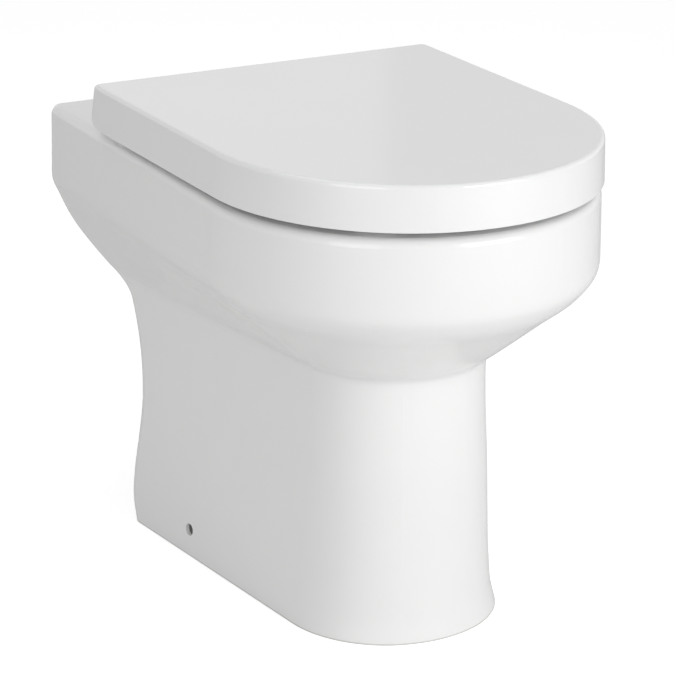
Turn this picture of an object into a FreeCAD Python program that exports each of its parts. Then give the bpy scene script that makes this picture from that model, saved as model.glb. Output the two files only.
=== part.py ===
import FreeCAD, Part
import math
import os

import Sketcher
from FreeCAD import Placement, Rotation, Vector

# A back-to-wall toilet pan with a soft-close seat and a wrap-over lid.
# Millimetres. X runs across, -Y to the front, +Y to the wall, Z up from the floor.
# The origin is on the floor under the middle of the whole depth, and a distance
# "from_wall" is measured forward from the plane where the pan meets the wall.

doc = FreeCAD.newDocument("toilet_pan")
sheet = doc.addObject("Spreadsheet::Sheet", "Dim")

SIZES = {
    # overall
    "projection": 534.2,
    "rim_height": 405,
    # outside of the pan, one group for each height at which its outline is drawn
    "floor_front": 452.9,
    "floor_half": 102.5,
    "floor_rear_half": 123.5,
    "floor_rear_gap": 78.5,
    "ankle_height": 24,
    "ankle_front": 446.8,
    "ankle_half": 97,
    "ankle_rear_half": 123.5,
    "ankle_rear_gap": 71,
    "waist_height": 140,
    "waist_front": 439.5,
    "waist_half": 90.8,
    "waist_rear_half": 122,
    "waist_rear_gap": 88.5,
    "collar_drop": 172,
    "collar_front": 434.5,
    "collar_half": 86.5,
    "collar_rear_half": 123.5,
    "collar_rear_gap": 66,
    "neck_drop": 160,
    "neck_front": 435.8,
    "neck_half": 87.8,
    "neck_rear_half": 125.5,
    "neck_rear_gap": 46.7,
    "throat_drop": 152,
    "throat_front": 446,
    "throat_half": 97.2,
    "throat_rear_half": 131,
    "throat_rear_gap": 37,
    "slope_drop": 107,
    "slope_front": 500,
    "slope_half": 148,
    "slope_rear_half": 156,
    "shoulder_drop": 87,
    "shoulder_front": 523.3,
    "shoulder_half": 171.3,
    "shoulder_rear_half": 164.5,
    "band_drop": 69,
    "band_front": 533.5,
    "band_half": 181.6,
    "band_rear_half": 172,
    "rim_front": 531.8,
    "rim_half": 180,
    "rim_rear_half": 171.5,
    "rim_round": 8,
    "foot_inset": 6,
    "foot_flat": 12,
    "foot_corner": 14,
    "rim_inset": 4,
    "rim_flat": 8,
    "rim_corner": 14,
    "rear_trim": 4,
    # walls and hollows of the casting
    "wall": 14,
    "deck_wall": 16,
    "bowl_wall": 12,
    "bowl_centre": 357,
    "bowl_half": 122,
    "bowl_half_length": 132,
    "belly_drop": 85,
    "belly_centre": 350,
    "belly_half": 110,
    "belly_half_length": 120,
    "sink_drop": 170,
    "sink_centre": 330,
    "sink_half": 68,
    "sink_half_length": 82,
    "sump_drop": 260,
    "sump_half": 40,
    "sump_half_length": 42,
    "trap_from_wall": 311,
    "trap_radius": 38,
    "trap_wall": 10,
    "trap_bend": 52,
    "trap_low": 60,
    "trap_rise_angle": 60,
    "weir_bend": 60,
    "outlet_height": 185,
    "outlet_gap": 60,
    "spigot_radius": 51,
    "spigot_length": 50,
    "arch_radius": 64,
    "inlet_height": 340,
    "inlet_radius": 27.5,
    "inlet_wall": 9,
    "inlet_seat_radius": 34,
    "inlet_seat_depth": 5,
    "pipe_radius": 22,
    "seal_length": 32,
    # floor fixings
    "side_hole_from_wall": 182,
    "side_hole_height": 25,
    "side_hole_radius": 6,
    "screw_sink": 7,
    "screw_radius": 3,
    "screw_head_radius": 5.3,
    "screw_head": 4,
    "screw_reach": 14,
    "bracket_gap": 3,
    "bracket_wall": 5,
    "bracket_width": 30,
    "bracket_foot": 38,
    "bracket_rise": 48,
    "bracket_hole_radius": 3.5,
    "bracket_hole_reach": 24,
    # seat and lid
    "axis_from_wall": 125,
    "axis_rise": 30,
    "lid_rear": 110,
    "lid_lean": 5.5,
    "lid_half": 180,
    "lid_rear_half": 178.4,
    "lid_draft": 1.5,
    "lid_gap": 7.2,
    "lid_height": 40.2,
    "lid_wall": 4.5,
    "lid_round": 3.7,
    "lid_corner": 8,
    "lid_heel": 20,
    "seat_gap": 7,
    "seat_thickness": 22,
    "seat_margin": 3,
    "seat_round": 6,
    "seat_rear": 13,
    "seat_corner": 20,
    "seat_hole_centre": 358,
    "seat_hole_half": 112,
    "seat_hole_half_length": 126,
    "buffer_width": 14,
    "buffer_length": 34,
    "buffer_inset": 32,
    "buffer_front_angle": 38,
    "buffer_rear_from_wall": 240,
    # hinges
    "hinge_half_span": 77.5,
    "knuckle_width": 18,
    "knuckle_radius": 9,
    "knuckle_gap": 0.5,
    "lug_radius": 9.5,
    "lug_width": 26,
    "lug_floor": 4,
    "pin_radius": 4,
    "pin_end_gap": 2.5,
    "stud_setback": 42,
    "stud_radius": 4,
    "stud_reach": 14,
    "stud_length": 68,
    "plate_radius": 20,
    "plate_thickness": 5,
    "gasket_thickness": 1,
    "arm_front": 14,
    "arm_back": 12,
    "arm_chamfer": 10,
    "slot_clearance": 2,
    "deck_hole_radius": 8,
    "bush_flange_radius": 12,
    "bush_flange": 3,
    "washer_radius": 13,
    "washer_thickness": 2,
    "nut_radius": 8,
    "nut_height": 12,
    "wing_span": 40,
    "wing_thickness": 4,
    "wing_height": 16,
    "damper_radius": 7.5,
    "damper_wall": 1.2,
    "damper_cap": 3,
    "rotor_radius": 5,
    "vane_radius": 5.8,
    "vane_thickness": 2,
    "bush_radius": 6,
    "fit_gap": 0.05,
    "rest_gap": 0.3,
}

for row, (alias, number) in enumerate(SIZES.items(), start=1):
    sheet.set("A%d" % row, alias)
    sheet.set("B%d" % row, str(number))
    sheet.setAlias("B%d" % row, alias)
doc.recompute()


def value(expression):
    """The number that an expression on the sheet gives now."""
    return float(sheet.evalExpression(expression))


def from_wall(expression):
    """The Y of a place given by its distance in front of the wall."""
    return "Dim.projection / 2 - (%s)" % expression


def new_body(label):
    body = doc.addObject("PartDesign::Body", label)
    body.Label = label
    return body


def new_sketch(body, name, role, offset="0"):
    """A sketch on one of its body's own origin planes, moved along that plane's normal."""
    sketch = body.newObject("Sketcher::SketchObject", name)
    plane = [item for item in body.Origin.OriginFeatures if item.Role == role][0]
    sketch.AttachmentSupport = [(plane, "")]
    sketch.MapMode = "FlatFace"
    sketch.setExpression("AttachmentOffset.Base.z", offset)
    return sketch


def bound(sketch, constraint, expression):
    """Adds a dimension whose number follows an expression on the sheet."""
    index = sketch.addConstraint(constraint)
    sketch.setExpression("Constraints[%d]" % index, expression)


def bound_x(sketch, item, point, expression):
    bound(sketch, Sketcher.Constraint("DistanceX", -1, 1, item, point, value(expression)), expression)


def bound_y(sketch, item, point, expression):
    bound(sketch, Sketcher.Constraint("DistanceY", -1, 1, item, point, value(expression)), expression)


def bound_radius(sketch, item, expression):
    bound(sketch, Sketcher.Constraint("Radius", item, value(expression)), expression)


def draw_circle(sketch, x, y, radius):
    centre = Vector(value(x), value(y), 0)
    item = sketch.addGeometry(Part.Circle(centre, Vector(0, 0, 1), value(radius)))
    bound_x(sketch, item, 3, x)
    bound_y(sketch, item, 3, y)
    bound_radius(sketch, item, radius)


def draw_ellipse(sketch, y, half_width, half_length):
    """An ellipse on the centre line, longer from front to back than it is wide."""
    centre = Vector(0, value(y), 0)
    tip = centre + Vector(0, value(half_length), 0)
    side = centre + Vector(-value(half_width), 0, 0)
    item = sketch.addGeometry(Part.Ellipse(tip, side, centre))
    sketch.exposeInternalGeometry(item)
    long_axis = item + 1
    short_axis = item + 2
    sketch.addConstraint(Sketcher.Constraint("PointOnObject", item, 3, -2))
    bound_y(sketch, item, 3, y)
    sketch.addConstraint(Sketcher.Constraint("Vertical", long_axis))
    for axis, half in ((long_axis, half_length), (short_axis, half_width)):
        whole = "2 * (%s)" % half
        bound(sketch, Sketcher.Constraint("Distance", axis, value(whole)), whole)


def draw_polygon(sketch, corners):
    """Straight lines through corners given as pairs of expressions."""
    points = [Vector(value(x), value(y), 0) for x, y in corners]
    lines = []
    for start, end in zip(points, points[1:] + points[:1]):
        lines.append(sketch.addGeometry(Part.LineSegment(start, end)))
    for line, after in zip(lines, lines[1:] + lines[:1]):
        sketch.addConstraint(Sketcher.Constraint("Coincident", line, 2, after, 1))
    for line, (x, y) in zip(lines, corners):
        bound_x(sketch, line, 1, x)
        bound_y(sketch, line, 1, y)


def draw_box(sketch, left, right, low, high):
    draw_polygon(sketch, [(left, low), (right, low), (right, high), (left, high)])


def draw_arm(sketch, axis_y, axis_z, radius, corners):
    """A hinge arm seen from the side: a round end about the axis and straight edges to the front.
    The corners run from under the axis, round the front, to above the axis."""
    y = value(axis_y)
    z = value(axis_z)
    size = value(radius)
    low = (axis_y, "(%s) - (%s)" % (axis_z, radius))
    high = (axis_y, "(%s) + (%s)" % (axis_z, radius))
    path = [high] + corners[::-1] + [low]
    points = [Vector(value(a), value(b), 0) for a, b in path]
    lines = [sketch.addGeometry(Part.LineSegment(a, b)) for a, b in zip(points, points[1:])]
    arc = Part.ArcOfCircle(Part.Circle(Vector(y, z, 0), Vector(0, 0, 1), size), -math.pi / 2, math.pi / 2)
    end = sketch.addGeometry(arc)
    for line, after in zip(lines, lines[1:]):
        sketch.addConstraint(Sketcher.Constraint("Coincident", line, 2, after, 1))
    sketch.addConstraint(Sketcher.Constraint("Coincident", lines[-1], 2, end, 1))
    sketch.addConstraint(Sketcher.Constraint("Coincident", end, 2, lines[0], 1))
    for line, (a, b) in list(zip(lines, path))[1:]:
        bound_x(sketch, line, 1, a)
        bound_y(sketch, line, 1, b)
    bound_x(sketch, end, 3, axis_y)
    bound_y(sketch, end, 3, axis_z)
    bound_radius(sketch, end, radius)
    sketch.addConstraint(Sketcher.Constraint("Vertical", end, 1, end, 3))
    sketch.addConstraint(Sketcher.Constraint("Vertical", end, 2, end, 3))


def outline_curves(front, half, rear_half, rear, inset, flat, corner):
    """A closed outline seen from above: a flat rear edge with rounded corners, sides that run
    straight to the front, and a round front of one flatter arc between two tighter ones.
    front and rear are distances from the wall, half and rear_half are half widths."""
    wall_y = value(WALL_Y)
    r_side = half - inset
    r_front = half + flat
    front_centre = Vector(0, wall_y - front + r_front, 0)
    reach = math.sqrt((r_front - r_side) ** 2 - inset**2)
    side_centre = Vector(inset, front_centre.y - reach, 0)
    rear_centre = Vector(rear_half - corner, wall_y - rear - corner, 0)
    # the straight side touches both the side arc and the rear corner
    span = rear_centre - side_centre
    lean = math.atan2(span.y, span.x) - math.acos((r_side - corner) / span.Length)
    meet = math.atan2(side_centre.y - front_centre.y, side_centre.x)
    turn = math.pi

    def mirrored(point):
        return Vector(-point.x, point.y, 0)

    def arc(centre, radius, start, end):
        return Part.ArcOfCircle(Part.Circle(centre, Vector(0, 0, 1), radius), start, end)

    normal = Vector(math.cos(lean), math.sin(lean), 0)
    side_start = side_centre + normal * r_side
    side_end = rear_centre + normal * corner
    rear_start = rear_centre + Vector(0, corner, 0)
    return [
        arc(front_centre, r_front, -turn - meet, meet),
        arc(side_centre, r_side, meet, lean),
        Part.LineSegment(side_start, side_end),
        arc(rear_centre, corner, lean, turn / 2),
        Part.LineSegment(rear_start, mirrored(rear_start)),
        arc(mirrored(rear_centre), corner, turn / 2, turn - lean),
        Part.LineSegment(mirrored(side_end), mirrored(side_start)),
        arc(mirrored(side_centre), r_side, turn - lean, turn - meet),
    ]


def draw_outline(sketch, front, half, rear_half, rear, inset, flat, corner):
    """That outline in a sketch, with each size bound to its expression."""
    curves = outline_curves(*[value(size) for size in (front, half, rear_half, rear, inset, flat, corner)])
    loop = [sketch.addGeometry(curve) for curve in curves]
    front_arc, right_arc, _, right_corner, rear_edge, left_corner, _, left_arc = loop
    for item, after in zip(loop, loop[1:] + loop[:1]):
        sketch.addConstraint(Sketcher.Constraint("Tangent", item, 2, after, 1))
    sketch.addConstraint(Sketcher.Constraint("PointOnObject", front_arc, 3, -2))
    bound_y(sketch, front_arc, 3, from_wall("(%s) - (%s) - (%s)" % (front, half, flat)))
    bound_radius(sketch, front_arc, "(%s) + (%s)" % (half, flat))
    for sign, arc in (("", right_arc), ("-", left_arc)):
        bound_radius(sketch, arc, "(%s) - (%s)" % (half, inset))
        bound_x(sketch, arc, 3, "%s(%s)" % (sign, inset))
    for sign, arc in (("", right_corner), ("-", left_corner)):
        bound_radius(sketch, arc, corner)
        bound_x(sketch, arc, 3, "%s((%s) - (%s))" % (sign, rear_half, corner))
    sketch.addConstraint(Sketcher.Constraint("Horizontal", rear_edge))
    bound_y(sketch, rear_edge, 1, from_wall(rear))


def loft(body, name, sketches):
    feature = body.newObject("PartDesign::AdditiveLoft", name)
    feature.Profile = (sketches[0], [""])
    feature.Sections = [(item, [""]) for item in sketches[1:]]
    return feature


def pad(body, name, sketch, length, both_ways=False, backwards=False):
    feature = body.newObject("PartDesign::Pad", name)
    feature.Profile = sketch
    feature.SideType = "Symmetric" if both_ways else "One side"
    feature.Reversed = backwards
    feature.setExpression("Length", length)
    return feature


def pocket(body, name, sketch, length, both_ways=False, backwards=False):
    feature = body.newObject("PartDesign::Pocket", name)
    feature.Profile = sketch
    feature.SideType = "Symmetric" if both_ways else "One side"
    feature.Reversed = backwards
    feature.setExpression("Length", length)
    return feature


def cylinder(label, radius, height, place, direction=Vector(0, 0, 1)):
    """A Part cylinder from a place along a direction; place is three expressions."""
    item = doc.addObject("Part::Cylinder", label)
    item.Label = label
    item.setExpression("Radius", radius)
    item.setExpression("Height", height)
    item.Placement.Rotation = Rotation(Vector(0, 0, 1), direction)
    for letter, expression in zip("xyz", place):
        item.setExpression("Placement.Base.%s" % letter, expression)
    return item


def block(label, size, place):
    """A Part box from its low corner; size and place are three expressions each."""
    item = doc.addObject("Part::Box", label)
    item.Label = label
    for side, expression in zip(("Length", "Width", "Height"), size):
        item.setExpression(side, expression)
    for letter, expression in zip("xyz", place):
        item.setExpression("Placement.Base.%s" % letter, expression)
    return item


def cut(label, base, tool):
    item = doc.addObject("Part::Cut", label)
    item.Label = label
    item.Base = base
    item.Tool = tool
    return item


def fuse(label, shapes):
    item = doc.addObject("Part::MultiFuse", label)
    item.Label = label
    item.Shapes = shapes
    return item


def mirror(label, source):
    """The same piece on the left side of the centre line."""
    item = doc.addObject("Part::Mirroring", label)
    item.Label = label
    item.Source = source
    item.Normal = Vector(1, 0, 0)
    item.Base = Vector(0, 0, 0)
    return item


def group(label, pieces):
    """Separate solids of one kind, kept together."""
    item = doc.addObject("Part::Compound", label)
    item.Label = label
    item.Links = pieces
    return item


def tube(label, outer, inner, height, place, direction=Vector(0, 0, 1)):
    return cut(
        label,
        cylinder(label + "_outside", outer, height, place, direction),
        cylinder(label + "_bore", inner, height, place, direction),
    )


X_AXIS = Vector(1, 0, 0)
Y_AXIS = Vector(0, 1, 0)
WALL_Y = from_wall("0")
AXIS_Y = from_wall("Dim.axis_from_wall")
AXIS_Z = "Dim.rim_height + Dim.axis_rise"

# Outside of the pan: outlines at a few heights, with smooth curves up the wall between them.
STATIONS = ["floor", "ankle", "waist", "collar", "neck", "throat", "slope", "shoulder", "band", "rim"]
RIM_STATIONS = ["slope", "shoulder", "band", "rim"]
LONG_STEP = 12
SHORT_STEP = 4
SIDE_PATCHES = 5
OVERRUN = 36
SOFTENING = 2.5
SOFT_WEIGHTS = [1, 6, 15, 20, 15, 6, 1]


def station(name):
    """Height, front, half width, rear half width, rear gap, front shape and rear corner."""
    height = {"floor": "0", "ankle": "Dim.ankle_height", "waist": "Dim.waist_height", "rim": "Dim.rim_height"}
    gap = {"slope": "0", "shoulder": "-Dim.rear_trim", "band": "-Dim.rear_trim", "rim": "-Dim.rear_trim"}
    end = "rim" if name in RIM_STATIONS else "foot"
    return [
        value(height.get(name, "Dim.rim_height - Dim.%s_drop" % name)),
        value("Dim.%s_front" % name),
        value("Dim.%s_half" % name),
        value("Dim.%s_rear_half" % name),
        value(gap.get(name, "Dim.%s_rear_gap" % name)),
        value("Dim.%s_inset" % end),
        value("Dim.%s_flat" % end),
        value("Dim.%s_corner" % end),
    ]


def slopes(heights, sizes):
    """Rates of change at the stations that keep a curve from swinging past them."""
    steps = [b - a for a, b in zip(heights, heights[1:])]
    rates = [(b - a) / step for a, b, step in zip(sizes, sizes[1:], steps)]
    middle = []
    for before, after, low, high in zip(rates, rates[1:], steps, steps[1:]):
        if before * after <= 0:
            middle.append(0.0)
        else:
            first = 2 * high + low
            second = high + 2 * low
            middle.append((first + second) / (first / before + second / after))
    return [rates[0]] + middle + [rates[-1]]


def curve_at(heights, sizes, height):
    """A smooth curve through the stations, read at one height, straight beyond its ends."""
    rates = slopes(heights, sizes)
    if height <= heights[0]:
        return sizes[0] + rates[0] * (height - heights[0])
    if height >= heights[-1]:
        return sizes[-1] + rates[-1] * (height - heights[-1])
    place = max(i for i, start in enumerate(heights[:-1]) if start <= height)
    step = heights[place + 1] - heights[place]
    u = (height - heights[place]) / step
    return (
        sizes[place] * (1 + 2 * u) * (1 - u) ** 2
        + rates[place] * step * u * (1 - u) ** 2
        + sizes[place + 1] * u * u * (3 - 2 * u)
        + rates[place + 1] * step * u * u * (u - 1)
    )


def soft_curve_at(heights, sizes, height):
    """That curve averaged over a few millimetres of height, so that its bends come in gently."""
    middle = len(SOFT_WEIGHTS) // 2
    total = 0.0
    for index, weight in enumerate(SOFT_WEIGHTS):
        total += weight * curve_at(heights, sizes, height + SOFTENING * (index - middle))
    return total / sum(SOFT_WEIGHTS)


def levels(start, end, step):
    """Even heights from start up to the one before end, about a step apart."""
    count = max(1, round((end - start) / step))
    return [start + (end - start) * index / count for index in range(count)]


def section_heights(heights):
    """Heights at which the outline is drawn, close together from the collar to the band."""
    collar = heights[STATIONS.index("collar")]
    band = heights[STATIONS.index("band")]
    top = heights[-1] + OVERRUN
    below = levels(heights[0] - OVERRUN, collar, LONG_STEP)
    bends = levels(collar, band, SHORT_STEP)
    above = levels(band, top, LONG_STEP)
    return below + bends + above + [top]


def short_edges(curve):
    """The edges of one curve of an outline: a straight one comes in several lengths, so that the
    long sides of the pan are made of patches as wide as they are high."""
    if not isinstance(curve, Part.LineSegment):
        return [curve.toShape()]
    start = curve.StartPoint
    step = (curve.EndPoint - start) * (1 / SIDE_PATCHES)
    points = [start + step * index for index in range(SIDE_PATCHES)] + [curve.EndPoint]
    return [Part.makeLine(a, b) for a, b in zip(points, points[1:])]


def pan_loft(inward):
    """A solid with the pan's outline, drawn smaller by inward, that runs past both its ends."""
    columns = list(zip(*[station(name) for name in STATIONS]))
    heights = columns[0]
    wires = []
    for height in section_heights(heights):
        front, half, rear_half, rear, inset, flat, corner = [
            soft_curve_at(heights, sizes, height) for sizes in columns[1:]
        ]
        if inward:
            rear = max(rear, 0)
        curves = outline_curves(
            front - inward, half - inward, rear_half - inward, rear + inward, inset, flat, corner
        )
        wire = Part.Wire([edge for curve in curves for edge in short_edges(curve)])
        wire.translate(Vector(0, 0, height))
        wires.append(wire)
    return Part.makeLoft(wires, True, False)


skin = doc.addObject("Part::Feature", "pan_skin")
skin.Shape = pan_loft(0)
hollow_skin = doc.addObject("Part::Feature", "hollow_skin")
hollow_skin.Shape = pan_loft(value("Dim.wall"))


def clipped(label, solid, top):
    """The part of a solid between the floor and a height, in front of the wall."""
    reach = "2 * Dim.projection"
    limits = block(
        label + "_limits",
        (reach, reach, top),
        ("-Dim.projection", "%s - %s" % (WALL_Y, reach), "0"),
    )
    item = doc.addObject("Part::Common", label)
    item.Label = label
    item.Base = solid
    item.Tool = limits
    return item


casting = clipped("casting", skin, "Dim.rim_height")
hollow = clipped("hollow", hollow_skin, "Dim.rim_height - Dim.deck_wall")

# The bowl: an oval basin that narrows to the sump, drawn once for its glaze and once for its back.
BOWL = [
    ("mouth", "Dim.rim_height", "Dim.bowl_centre", "Dim.bowl_half", "Dim.bowl_half_length"),
    (
        "belly",
        "Dim.rim_height - Dim.belly_drop",
        "Dim.belly_centre",
        "Dim.belly_half",
        "Dim.belly_half_length",
    ),
    ("sink", "Dim.rim_height - Dim.sink_drop", "Dim.sink_centre", "Dim.sink_half", "Dim.sink_half_length"),
    ("sump", "Dim.rim_height - Dim.sump_drop", "Dim.trap_from_wall", "Dim.sump_half", "Dim.sump_half_length"),
]


def bowl_body(label, outward):
    body = new_body(label)
    sketches = []
    for name, height, centre, half, half_length in BOWL:
        sketch = new_sketch(body, "%s_%s" % (label, name), "XY_Plane", height)
        wide = "%s + %s" % (half, outward)
        long = "%s + %s" % (half_length, outward)
        draw_ellipse(sketch, from_wall(centre), wide, long)
        sketches.append(sketch)
    loft(body, label + "_loft", sketches)
    return body


bowl = bowl_body("bowl", "0")
bowl_back = bowl_body("bowl_back", "Dim.bowl_wall")


# The trap: down from the sump, round a low bend, up to the weir and level to the outlet.
def trap_path():
    bend = value("Dim.trap_bend")
    weir = value("Dim.weir_bend")
    rise = math.radians(value("Dim.trap_rise_angle"))
    start_y = value(from_wall("Dim.trap_from_wall"))
    bend_z = value("Dim.trap_low") + bend
    outlet_z = value("Dim.outlet_height")
    sump_z = value("Dim.rim_height - Dim.sump_drop")
    end_y = value(from_wall("Dim.outlet_gap"))

    def point(y, z):
        return Vector(0, y, z)

    def round_point(centre_y, centre_z, radius, angle):
        return point(centre_y + radius * math.cos(angle), centre_z + radius * math.sin(angle))

    low_y = start_y + bend
    leave = rise - math.pi / 2
    bend_start = point(start_y, bend_z)
    bend_middle = round_point(low_y, bend_z, bend, (leave - math.pi) / 2)
    bend_end = round_point(low_y, bend_z, bend, leave)
    climb = (outlet_z - weir * (1 - math.cos(rise)) - bend_end.z) / math.sin(rise)
    weir_start = bend_end + point(climb * math.cos(rise), climb * math.sin(rise))
    weir_y = weir_start.y + weir * math.sin(rise)
    weir_middle = round_point(weir_y, outlet_z - weir, weir, math.pi / 2 + rise / 2)
    weir_end = point(weir_y, outlet_z)
    edges = [
        Part.LineSegment(point(start_y, sump_z), bend_start),
        Part.Arc(bend_start, bend_middle, bend_end),
        Part.LineSegment(bend_end, weir_start),
        Part.Arc(weir_start, weir_middle, weir_end),
        Part.LineSegment(weir_end, point(weir_y, outlet_z) + point(end_y - weir_y, 0)),
    ]
    return Part.Wire([edge.toShape() for edge in edges])


def trap_tube(label, radius):
    path = trap_path()
    ring = Part.Wire([Part.makeCircle(radius, path.Vertexes[0].Point, Vector(0, 0, -1))])
    item = doc.addObject("Part::Feature", label)
    item.Shape = path.makePipeShell([ring], True, False)
    return item


trap = trap_tube("trap", value("Dim.trap_radius"))
trap_back = trap_tube("trap_back", value("Dim.trap_radius + Dim.trap_wall"))
spigot = cylinder(
    "spigot",
    "Dim.spigot_radius",
    "Dim.spigot_length",
    ("0", from_wall("Dim.outlet_gap + Dim.spigot_length"), "Dim.outlet_height"),
    Y_AXIS,
)

# The flush duct runs level from the wall to the back of the bowl, with a seat for its seal.
DUCT_LENGTH = "Dim.belly_centre - Dim.belly_half_length / 2"
duct = cylinder(
    "duct", "Dim.inlet_radius", DUCT_LENGTH, ("0", from_wall(DUCT_LENGTH), "Dim.inlet_height"), Y_AXIS
)
duct_back = cylinder(
    "duct_back",
    "Dim.inlet_radius + Dim.inlet_wall",
    DUCT_LENGTH,
    ("0", from_wall(DUCT_LENGTH), "Dim.inlet_height"),
    Y_AXIS,
)
seal_seat = cylinder(
    "seal_seat",
    "Dim.inlet_seat_radius",
    "Dim.inlet_seat_depth",
    ("0", from_wall("Dim.inlet_seat_depth"), "Dim.inlet_height"),
    Y_AXIS,
)

# An arch in the back of the pedestal leaves room for the outlet and the soil pipe.
arch = new_body("arch")
arch_sketch = new_sketch(arch, "arch_sketch", "XZ_Plane", "-(%s)" % WALL_Y)
draw_circle(arch_sketch, "0", "Dim.outlet_height", "Dim.arch_radius")
ARCH_DEPTH = "Dim.waist_rear_gap + 2 * Dim.wall"
pad(arch, "arch_round", arch_sketch, ARCH_DEPTH)
arch_legs = new_sketch(arch, "arch_legs", "XZ_Plane", "-(%s)" % WALL_Y)
draw_box(arch_legs, "-Dim.arch_radius", "Dim.arch_radius", "-Dim.wall", "Dim.outlet_height")
pad(arch, "arch_door", arch_legs, ARCH_DEPTH)

STUD_Y = from_wall("Dim.axis_from_wall + Dim.stud_setback")
deck_holes = []
for sign in ("", "-"):
    deck_holes.append(
        cylinder(
            "deck_hole",
            "Dim.deck_hole_radius",
            "2 * Dim.deck_wall",
            (sign + "Dim.hinge_half_span", STUD_Y, "Dim.rim_height - 1.5 * Dim.deck_wall"),
        )
    )
side_holes = cylinder(
    "side_holes",
    "Dim.side_hole_radius",
    "Dim.projection",
    ("-Dim.projection / 2", from_wall("Dim.side_hole_from_wall"), "Dim.side_hole_height"),
    X_AXIS,
)

backs = fuse("backs", [bowl_back, trap_back, spigot, duct_back])
open_hollow = cut("open_hollow", hollow, backs)
doc.recompute()
shell = cut("shell", casting, fuse("shell_cuts", [open_hollow, arch]))
waterways = fuse("waterways", [bowl, trap, duct, seal_seat] + deck_holes + [side_holes])
pan_with_outlet = fuse("pan_with_outlet", [shell, spigot, trap_back])
pan_sharp = cut("pan_sharp", pan_with_outlet, waterways)
doc.recompute()


def edges_where(shape, test):
    """The numbers of the edges that pass a test, for a fillet."""
    return [number for number, edge in enumerate(shape.Edges, start=1) if test(edge)]


def on_rim(edge):
    """An outer or bowl edge of the rim's flat top, but not a bolt hole or the edge at the wall."""
    box = edge.BoundBox
    rim = value("Dim.rim_height")
    flat = box.ZMin > rim - 0.01 and box.ZMax < rim + 0.01
    wide = max(box.XLength, box.YLength) > 4 * value("Dim.deck_hole_radius")
    at_wall = box.YMin > value(WALL_Y) - 0.01
    corner = box.YMin > value(WALL_Y) - value("Dim.rim_corner") - 0.01
    return flat and (wide or corner) and not at_wall


pan = doc.addObject("Part::Fillet", "pan")
pan.Label = "pan"
pan.Base = pan_sharp
rim_round = value("Dim.rim_round")
pan.Edges = [(number, rim_round, rim_round) for number in edges_where(pan_sharp.Shape, on_rim)]
doc.recompute()

# Rubber seal in the flush inlet, with a collar in the seat at the wall.
seal_shape = fuse(
    "seal_shape",
    [
        cylinder(
            "seal_sleeve",
            "Dim.inlet_radius - Dim.fit_gap",
            "Dim.seal_length",
            ("0", from_wall("Dim.seal_length + Dim.rest_gap"), "Dim.inlet_height"),
            Y_AXIS,
        ),
        cylinder(
            "seal_collar",
            "Dim.inlet_seat_radius - Dim.fit_gap",
            "Dim.inlet_seat_depth - Dim.rest_gap - Dim.fit_gap",
            ("0", from_wall("Dim.inlet_seat_depth - Dim.fit_gap"), "Dim.inlet_height"),
            Y_AXIS,
        ),
    ],
)
flush_inlet_seal = cut(
    "flush_inlet_seal",
    seal_shape,
    cylinder(
        "seal_bore",
        "Dim.pipe_radius",
        "2 * Dim.seal_length",
        ("0", from_wall("1.5 * Dim.seal_length"), "Dim.inlet_height"),
        Y_AXIS,
    ),
)

# Floor fixings: a bracket inside the pedestal, a sleeve in the side hole and a screw through both.
SIDE_Y = from_wall("Dim.side_hole_from_wall")


def side_surfaces():
    """Where the axis of the side hole leaves the casting and where it reaches the hollow."""
    y = value(SIDE_Y)
    z = value("Dim.side_hole_height")
    line = Part.makeLine(Vector(0, y, z), Vector(value("Dim.projection"), y, z))
    outer = max(vertex.X for vertex in skin.Shape.common(line).Vertexes)
    inner = max(vertex.X for vertex in hollow_skin.Shape.common(line).Vertexes)
    return outer, inner


side_outer, side_inner = side_surfaces()
bracket_face = side_inner - value("Dim.bracket_gap")
screw_seat = side_outer - value("Dim.screw_sink + Dim.screw_head")


def placed(item, x, y):
    """Moves a piece that was made at the origin, where X was found on the casting."""
    item.Placement.Base = Vector(x, value(y), 0)
    return item


upright = block(
    "bracket_upright",
    ("Dim.bracket_wall", "Dim.bracket_width", "Dim.bracket_rise"),
    ("-Dim.bracket_wall", "-Dim.bracket_width / 2", "0"),
)
tread = block(
    "bracket_tread",
    ("Dim.bracket_foot", "Dim.bracket_width", "Dim.bracket_wall"),
    ("-Dim.bracket_foot", "-Dim.bracket_width / 2", "0"),
)
boss = cylinder(
    "bracket_boss",
    "2 * Dim.screw_radius",
    "Dim.screw_reach",
    ("-Dim.screw_reach", "0", "Dim.side_hole_height"),
    X_AXIS,
)
thread = cylinder(
    "bracket_thread",
    "Dim.screw_radius + Dim.fit_gap",
    "3 * Dim.screw_reach",
    ("-2 * Dim.screw_reach", "0", "Dim.side_hole_height"),
    X_AXIS,
)
floor_hole = cylinder(
    "bracket_floor_hole",
    "Dim.bracket_hole_radius",
    "3 * Dim.bracket_wall",
    ("-Dim.bracket_hole_reach", "0", "-Dim.bracket_wall"),
)
bracket_right = placed(
    cut(
        "floor_bracket_right",
        fuse("bracket_solid", [upright, tread, boss]),
        fuse("bracket_holes", [thread, floor_hole]),
    ),
    bracket_face,
    SIDE_Y,
)


def along_x(radius, start, end):
    """A round bar about the side hole's axis, from one X to another."""
    place = Vector(start, value(SIDE_Y), value("Dim.side_hole_height"))
    return Part.makeCylinder(radius, end - start, place, X_AXIS)


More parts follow.
